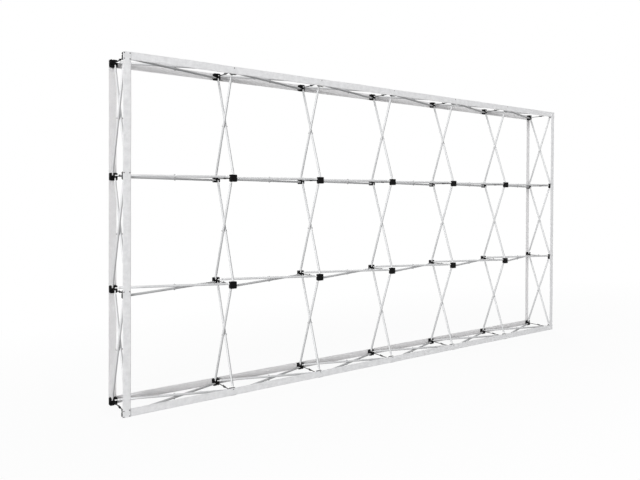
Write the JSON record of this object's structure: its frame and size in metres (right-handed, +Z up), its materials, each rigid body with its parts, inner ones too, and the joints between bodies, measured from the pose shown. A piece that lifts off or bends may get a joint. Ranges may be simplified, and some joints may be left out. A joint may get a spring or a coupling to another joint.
{
  "type": "pop up display backwall",
  "caption": "Straight folding display backwall: crossed aluminium tubes between square plastic hubs, hook locks through its depth, and edge tapes front and back that hold a fabric panel.",
  "frame": {"origin": "centre of the frame's box at floor level", "axes": "+X across the width, to the right seen from the front; +Y through the depth, towards the back; +Z up"},
  "size_m": [4.49, 0.3028, 2.272],
  "materials": {
    "hub_plastic": "moulded black nylon, fine texture",
    "tube_aluminium": "drawn and satin anodised",
    "plug_plastic": "moulded light grey nylon",
    "pin_steel": "bright zinc plate",
    "rivet_steel": "bright zinc plate",
    "lock_plastic": "moulded black nylon",
    "tape_rivet_plastic": "moulded black nylon",
    "front_tape_fabric": "light grey loop tape, woven nylon",
    "back_tape_fabric": "light grey loop tape, woven nylon"
  },
  "bodies": {
    "frame": {"front_hubs_row_1": "hub_plastic", "back_hubs_row_1": "hub_plastic", "level_tubes_row_1": "tube_aluminium", "front_hubs_row_2": "hub_plastic", "back_hubs_row_2": "hub_plastic", "level_tubes_row_2": "tube_aluminium", "front_hubs_row_3": "hub_plastic", "back_hubs_row_3": "hub_plastic", "level_tubes_row_3": "tube_aluminium", "front_hubs_row_4": "hub_plastic", "back_hubs_row_4": "hub_plastic", "level_tubes_row_4": "tube_aluminium", "upright_tubes_column_1": "tube_aluminium", "upright_tubes_column_2": "tube_aluminium", "upright_tubes_column_3": "tube_aluminium", "upright_tubes_column_4": "tube_aluminium", "upright_tubes_column_5": "tube_aluminium", "upright_tubes_column_6": "tube_aluminium", "upright_tubes_column_7": "tube_aluminium", "tube_end_plugs": "plug_plastic", "hub_pins": "pin_steel", "scissor_rivets": "rivet_steel", "lock_catches": "lock_plastic", "tape_rivets": "tape_rivet_plastic", "front_tape_top": "front_tape_fabric", "front_tape_bottom": "front_tape_fabric", "front_tape_left": "front_tape_fabric", "front_tape_right": "front_tape_fabric", "back_tape_top": "back_tape_fabric", "back_tape_bottom": "back_tape_fabric", "back_tape_left": "back_tape_fabric", "back_tape_right": "back_tape_fabric"},
    "hook_column_1_row_1": {"hook_arm_column_1_row_1": "lock_plastic"},
    "hook_column_2_row_1": {"hook_arm_column_2_row_1": "lock_plastic"},
    "hook_column_3_row_1": {"hook_arm_column_3_row_1": "lock_plastic"},
    "hook_column_4_row_1": {"hook_arm_column_4_row_1": "lock_plastic"},
    "hook_column_5_row_1": {"hook_arm_column_5_row_1": "lock_plastic"},
    "hook_column_6_row_1": {"hook_arm_column_6_row_1": "lock_plastic"},
    "hook_column_7_row_1": {"hook_arm_column_7_row_1": "lock_plastic"},
    "hook_column_1_row_2": {"hook_arm_column_1_row_2": "lock_plastic"},
    "hook_column_2_row_2": {"hook_arm_column_2_row_2": "lock_plastic"},
    "hook_column_3_row_2": {"hook_arm_column_3_row_2": "lock_plastic"},
    "hook_column_4_row_2": {"hook_arm_column_4_row_2": "lock_plastic"},
    "hook_column_5_row_2": {"hook_arm_column_5_row_2": "lock_plastic"},
    "hook_column_6_row_2": {"hook_arm_column_6_row_2": "lock_plastic"},
    "hook_column_7_row_2": {"hook_arm_column_7_row_2": "lock_plastic"},
    "hook_column_1_row_3": {"hook_arm_column_1_row_3": "lock_plastic"},
    "hook_column_2_row_3": {"hook_arm_column_2_row_3": "lock_plastic"},
    "hook_column_3_row_3": {"hook_arm_column_3_row_3": "lock_plastic"},
    "hook_column_4_row_3": {"hook_arm_column_4_row_3": "lock_plastic"},
    "hook_column_5_row_3": {"hook_arm_column_5_row_3": "lock_plastic"},
    "hook_column_6_row_3": {"hook_arm_column_6_row_3": "lock_plastic"},
    "hook_column_7_row_3": {"hook_arm_column_7_row_3": "lock_plastic"},
    "hook_column_1_row_4": {"hook_arm_column_1_row_4": "lock_plastic"},
    "hook_column_2_row_4": {"hook_arm_column_2_row_4": "lock_plastic"},
    "hook_column_3_row_4": {"hook_arm_column_3_row_4": "lock_plastic"},
    "hook_column_4_row_4": {"hook_arm_column_4_row_4": "lock_plastic"},
    "hook_column_5_row_4": {"hook_arm_column_5_row_4": "lock_plastic"},
    "hook_column_6_row_4": {"hook_arm_column_6_row_4": "lock_plastic"},
    "hook_column_7_row_4": {"hook_arm_column_7_row_4": "lock_plastic"}
  },
  "joints": [
    {"name": "hook_lift_column_1_row_1", "type": "hinge", "parent": "frame", "child": "hook_column_1_row_1", "pos_m": [-2.22, 0.1245, 0.025], "axis": [-1, 0, 0], "range_deg": [0, 45]},
    {"name": "hook_lift_column_2_row_1", "type": "hinge", "parent": "frame", "child": "hook_column_2_row_1", "pos_m": [-1.48, 0.1245, 0.025], "axis": [-1, 0, 0], "range_deg": [0, 45]},
    {"name": "hook_lift_column_3_row_1", "type": "hinge", "parent": "frame", "child": "hook_column_3_row_1", "pos_m": [-0.74, 0.1245, 0.025], "axis": [-1, 0, 0], "range_deg": [0, 45]},
    {"name": "hook_lift_column_4_row_1", "type": "hinge", "parent": "frame", "child": "hook_column_4_row_1", "pos_m": [0, 0.1245, 0.025], "axis": [-1, 0, 0], "range_deg": [0, 45]},
    {"name": "hook_lift_column_5_row_1", "type": "hinge", "parent": "frame", "child": "hook_column_5_row_1", "pos_m": [0.74, 0.1245, 0.025], "axis": [-1, 0, 0], "range_deg": [0, 45]},
    {"name": "hook_lift_column_6_row_1", "type": "hinge", "parent": "frame", "child": "hook_column_6_row_1", "pos_m": [1.48, 0.1245, 0.025], "axis": [-1, 0, 0], "range_deg": [0, 45]},
    {"name": "hook_lift_column_7_row_1", "type": "hinge", "parent": "frame", "child": "hook_column_7_row_1", "pos_m": [2.22, 0.1245, 0.025], "axis": [-1, 0, 0], "range_deg": [0, 45]},
    {"name": "hook_lift_column_1_row_2", "type": "hinge", "parent": "frame", "child": "hook_column_1_row_2", "pos_m": [-2.22, 0.1245, 0.765], "axis": [-1, 0, 0], "range_deg": [0, 45]},
    {"name": "hook_lift_column_2_row_2", "type": "hinge", "parent": "frame", "child": "hook_column_2_row_2", "pos_m": [-1.48, 0.1245, 0.765], "axis": [-1, 0, 0], "range_deg": [0, 45]},
    {"name": "hook_lift_column_3_row_2", "type": "hinge", "parent": "frame", "child": "hook_column_3_row_2", "pos_m": [-0.74, 0.1245, 0.765], "axis": [-1, 0, 0], "range_deg": [0, 45]},
    {"name": "hook_lift_column_4_row_2", "type": "hinge", "parent": "frame", "child": "hook_column_4_row_2", "pos_m": [0, 0.1245, 0.765], "axis": [-1, 0, 0], "range_deg": [0, 45]},
    {"name": "hook_lift_column_5_row_2", "type": "hinge", "parent": "frame", "child": "hook_column_5_row_2", "pos_m": [0.74, 0.1245, 0.765], "axis": [-1, 0, 0], "range_deg": [0, 45]},
    {"name": "hook_lift_column_6_row_2", "type": "hinge", "parent": "frame", "child": "hook_column_6_row_2", "pos_m": [1.48, 0.1245, 0.765], "axis": [-1, 0, 0], "range_deg": [0, 45]},
    {"name": "hook_lift_column_7_row_2", "type": "hinge", "parent": "frame", "child": "hook_column_7_row_2", "pos_m": [2.22, 0.1245, 0.765], "axis": [-1, 0, 0], "range_deg": [0, 45]},
    {"name": "hook_lift_column_1_row_3", "type": "hinge", "parent": "frame", "child": "hook_column_1_row_3", "pos_m": [-2.22, 0.1245, 1.505], "axis": [-1, 0, 0], "range_deg": [0, 45]},
    {"name": "hook_lift_column_2_row_3", "type": "hinge", "parent": "frame", "child": "hook_column_2_row_3", "pos_m": [-1.48, 0.1245, 1.505], "axis": [-1, 0, 0], "range_deg": [0, 45]},
    {"name": "hook_lift_column_3_row_3", "type": "hinge", "parent": "frame", "child": "hook_column_3_row_3", "pos_m": [-0.74, 0.1245, 1.505], "axis": [-1, 0, 0], "range_deg": [0, 45]},
    {"name": "hook_lift_column_4_row_3", "type": "hinge", "parent": "frame", "child": "hook_column_4_row_3", "pos_m": [0, 0.1245, 1.505], "axis": [-1, 0, 0], "range_deg": [0, 45]},
    {"name": "hook_lift_column_5_row_3", "type": "hinge", "parent": "frame", "child": "hook_column_5_row_3", "pos_m": [0.74, 0.1245, 1.505], "axis": [-1, 0, 0], "range_deg": [0, 45]},
    {"name": "hook_lift_column_6_row_3", "type": "hinge", "parent": "frame", "child": "hook_column_6_row_3", "pos_m": [1.48, 0.1245, 1.505], "axis": [-1, 0, 0], "range_deg": [0, 45]},
    {"name": "hook_lift_column_7_row_3", "type": "hinge", "parent": "frame", "child": "hook_column_7_row_3", "pos_m": [2.22, 0.1245, 1.505], "axis": [-1, 0, 0], "range_deg": [0, 45]},
    {"name": "hook_lift_column_1_row_4", "type": "hinge", "parent": "frame", "child": "hook_column_1_row_4", "pos_m": [-2.22, 0.1245, 2.245], "axis": [-1, 0, 0], "range_deg": [0, 45]},
    {"name": "hook_lift_column_2_row_4", "type": "hinge", "parent": "frame", "child": "hook_column_2_row_4", "pos_m": [-1.48, 0.1245, 2.245], "axis": [-1, 0, 0], "range_deg": [0, 45]},
    {"name": "hook_lift_column_3_row_4", "type": "hinge", "parent": "frame", "child": "hook_column_3_row_4", "pos_m": [-0.74, 0.1245, 2.245], "axis": [-1, 0, 0], "range_deg": [0, 45]},
    {"name": "hook_lift_column_4_row_4", "type": "hinge", "parent": "frame", "child": "hook_column_4_row_4", "pos_m": [0, 0.1245, 2.245], "axis": [-1, 0, 0], "range_deg": [0, 45]},
    {"name": "hook_lift_column_5_row_4", "type": "hinge", "parent": "frame", "child": "hook_column_5_row_4", "pos_m": [0.74, 0.1245, 2.245], "axis": [-1, 0, 0], "range_deg": [0, 45]},
    {"name": "hook_lift_column_6_row_4", "type": "hinge", "parent": "frame", "child": "hook_column_6_row_4", "pos_m": [1.48, 0.1245, 2.245], "axis": [-1, 0, 0], "range_deg": [0, 45]},
    {"name": "hook_lift_column_7_row_4", "type": "hinge", "parent": "frame", "child": "hook_column_7_row_4", "pos_m": [2.22, 0.1245, 2.245], "axis": [-1, 0, 0], "range_deg": [0, 45]}
  ]
}
